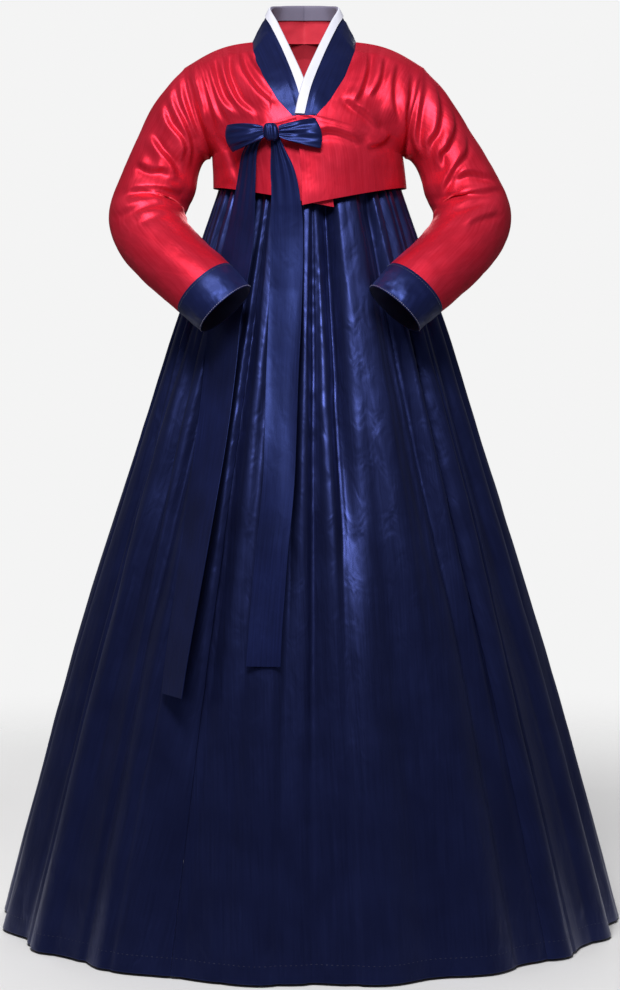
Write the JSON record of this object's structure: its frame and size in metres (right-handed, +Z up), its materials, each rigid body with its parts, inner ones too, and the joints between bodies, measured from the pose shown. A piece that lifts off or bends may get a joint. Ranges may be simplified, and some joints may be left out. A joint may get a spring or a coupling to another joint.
{
  "type": "korean hanbok, a woman's jeogori and chima, in its worn form",
  "caption": "Short wrapped jacket with bent sleeves, banded neck and ribbon bow over a full pleated floor-length skirt, held in worn form, hollow and open.",
  "frame": {"origin": "middle of the neck's base, where the wearer's shoulders hold the garment up", "axes": "+Z up along the body, the front faces -Y, +X is the wearer's left"},
  "size_m": [0.9784, 0.8188, 1.4294],
  "materials": {
    "red_satin": "satin weave, soft sheen",
    "navy_satin": "satin weave, bright sheen on folds",
    "white_strip": "crisp plain weave, matt"
  },
  "bodies": {
    "root": {"jeogori_front_left": "red_satin", "jeogori_front_right": "red_satin", "jeogori_back_left": "red_satin", "jeogori_back_right": "red_satin", "sleeve_left": "red_satin", "sleeve_right": "red_satin", "cuff_left": "navy_satin", "cuff_right": "navy_satin", "collar": "navy_satin", "ribbon_tail_left": "navy_satin", "ribbon_tail_right": "navy_satin", "bow_loop_left": "navy_satin", "bow_loop_right": "navy_satin", "bow_knot": "navy_satin", "skirt_panel_1": "navy_satin", "skirt_panel_2": "navy_satin", "skirt_panel_3": "navy_satin", "skirt_panel_4": "navy_satin", "skirt_panel_5": "navy_satin", "chima_waistband": "navy_satin", "dongjeong": "white_strip"}
  },
  "joints": []
}
